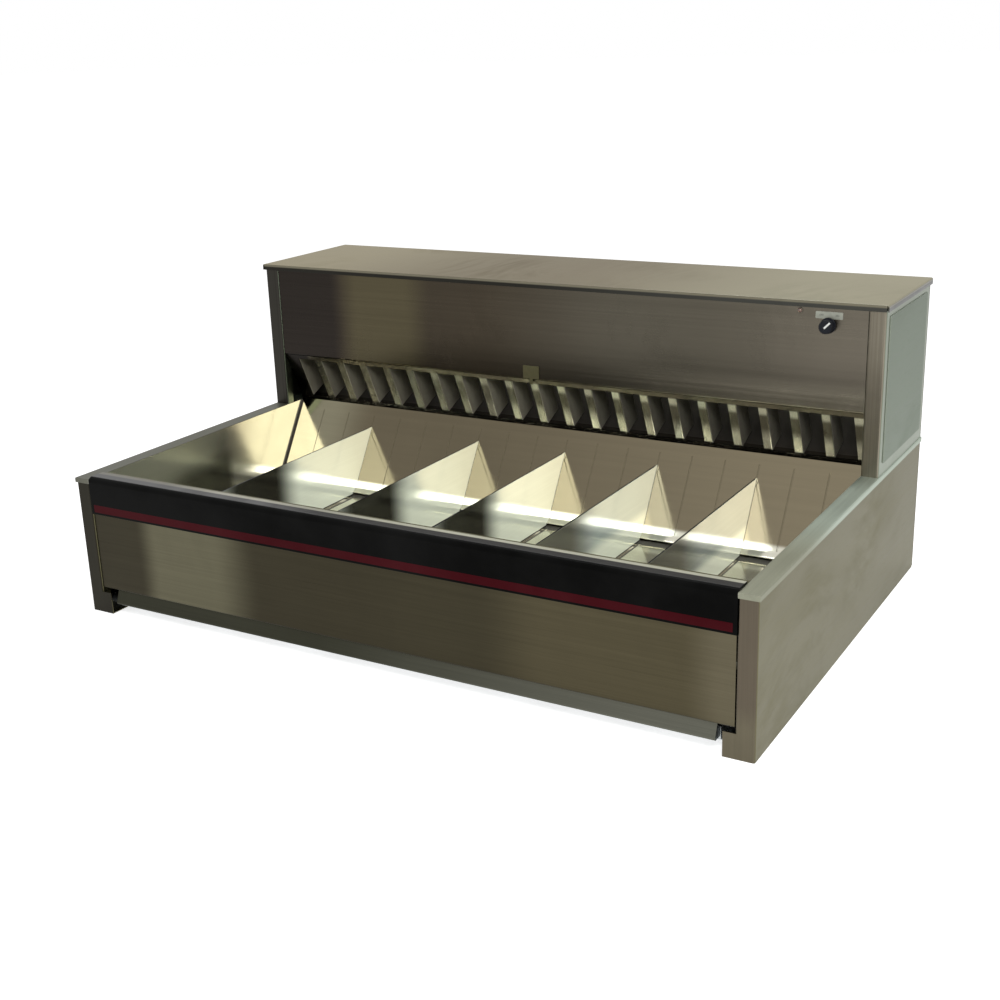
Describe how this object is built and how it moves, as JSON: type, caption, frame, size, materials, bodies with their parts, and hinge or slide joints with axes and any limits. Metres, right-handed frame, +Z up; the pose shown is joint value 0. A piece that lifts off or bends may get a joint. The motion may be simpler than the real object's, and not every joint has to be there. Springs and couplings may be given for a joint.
{
  "type": "chip warmer",
  "caption": "Countertop chip warmer: open stainless hopper with lift-out dividers, warm-air louvre and control housing behind, crumb tray under the front.",
  "frame": {"origin": "on the ground at the middle of the footprint, from the hopper's front lips to the end of the cord gland", "axes": "+X to the right seen from the customer's side, +Y to the rear (the heated housing), +Z up"},
  "size_m": [1.022, 0.684, 0.436],
  "materials": {
    "cabinet_steel": "brushed stainless sheet, satin",
    "side_cover_steel": "brushed stainless sheet, satin",
    "hopper_steel": "bright annealed stainless sheet",
    "divider_steel": "bright annealed stainless sheet",
    "tray_steel": "stainless sheet, satin",
    "louvre_steel": "stainless sheet, satin",
    "zinc_steel": "zinc-coated sheet, dull",
    "black_trim": "black, semi-gloss",
    "red_stripe": "deep red film, semi-gloss",
    "motor_paint": "dark grey enamel",
    "shaft_steel": "ground steel",
    "wheel_aluminium": "rolled aluminium",
    "heater_sheath": "dark oxidised sheath",
    "knob_plastic": "black phenolic",
    "pointer_white": "white fill",
    "switch_plastic": "black thermoset",
    "plate_enamel": "satin anodised plate",
    "lamp_bezel": "bright bezel",
    "lamp_lens": "translucent red-amber lens",
    "gland_plastic": "black nylon",
    "screw_steel": "stainless pan head"
  },
  "bodies": {
    "cabinet": {"back_panel": "cabinet_steel", "back_panel_screws": "screw_steel", "band_stripe": "red_stripe", "blower_motor": "motor_paint", "blower_scroll_left": "zinc_steel", "blower_scroll_right": "zinc_steel", "bottom_pan": "zinc_steel", "control_shield": "zinc_steel", "cord_gland": "gland_plastic", "duct_partition": "zinc_steel", "electrics_tray": "zinc_steel", "end_panel_left": "cabinet_steel", "end_panel_right": "cabinet_steel", "floor_rail_front": "zinc_steel", "floor_rail_rear": "zinc_steel", "front_band": "black_trim", "front_panel": "cabinet_steel", "heater_brackets": "zinc_steel", "heater_element": "heater_sheath", "hopper_end_left": "hopper_steel", "hopper_end_right": "hopper_steel", "hopper_floor": "hopper_steel", "hopper_front_wall": "hopper_steel", "hopper_rear_slope": "hopper_steel", "housing_front": "cabinet_steel", "label_plate": "plate_enamel", "lid": "cabinet_steel", "limit_switch": "switch_plastic", "louvre_catch": "louvre_steel", "louvre_panel": "louvre_steel", "motor_bracket": "zinc_steel", "pilot_lamp": "lamp_bezel", "pilot_lens": "lamp_lens", "rear_cover": "cabinet_steel", "rear_cover_screws": "screw_steel", "rotary_switch": "switch_plastic", "side_cover_left": "side_cover_steel", "side_cover_right": "side_cover_steel", "switch_nut": "zinc_steel", "terminal_block": "switch_plastic", "tray_runner_left": "zinc_steel", "tray_runner_right": "zinc_steel", "upper_side_left": "cabinet_steel", "upper_side_right": "cabinet_steel"},
    "crumb_tray": {"crumb_tray": "tray_steel"},
    "control_knob": {"knob": "knob_plastic", "knob_pointer": "pointer_white", "switch_shaft": "shaft_steel"},
    "blower_rotor": {"rotor_shaft": "shaft_steel", "blower_wheel_left": "wheel_aluminium", "blower_wheel_right": "wheel_aluminium"},
    "divider_1": {"divider_1": "divider_steel"},
    "divider_2": {"divider_2": "divider_steel"},
    "divider_3": {"divider_3": "divider_steel"},
    "divider_4": {"divider_4": "divider_steel"},
    "divider_5": {"divider_5": "divider_steel"}
  },
  "joints": [
    {"name": "tray_slide", "type": "slide", "parent": "cabinet", "child": "crumb_tray", "axis": [0, -1, 0], "range_m": [0, 0.38]},
    {"name": "divider_1_lift", "type": "slide", "parent": "cabinet", "child": "divider_1", "axis": [0, -0.342, 0.9397], "range_m": [0, 0.14]},
    {"name": "divider_2_lift", "type": "slide", "parent": "cabinet", "child": "divider_2", "axis": [0, -0.342, 0.9397], "range_m": [0, 0.14]},
    {"name": "divider_3_lift", "type": "slide", "parent": "cabinet", "child": "divider_3", "axis": [0, -0.342, 0.9397], "range_m": [0, 0.14]},
    {"name": "divider_4_lift", "type": "slide", "parent": "cabinet", "child": "divider_4", "axis": [0, -0.342, 0.9397], "range_m": [0, 0.14]},
    {"name": "divider_5_lift", "type": "slide", "parent": "cabinet", "child": "divider_5", "axis": [0, -0.342, 0.9397], "range_m": [0, 0.14]},
    {"name": "knob_turn", "type": "hinge", "parent": "cabinet", "child": "control_knob", "pos_m": [0.4315, 0.1042, 0.404], "axis": [0, -1, 0], "range_deg": [0, 90]},
    {"name": "blower_spin", "type": "hinge", "parent": "cabinet", "child": "blower_rotor", "pos_m": [0, 0.2512, 0.33], "axis": [1, 0, 0], "continuous": true}
  ]
}
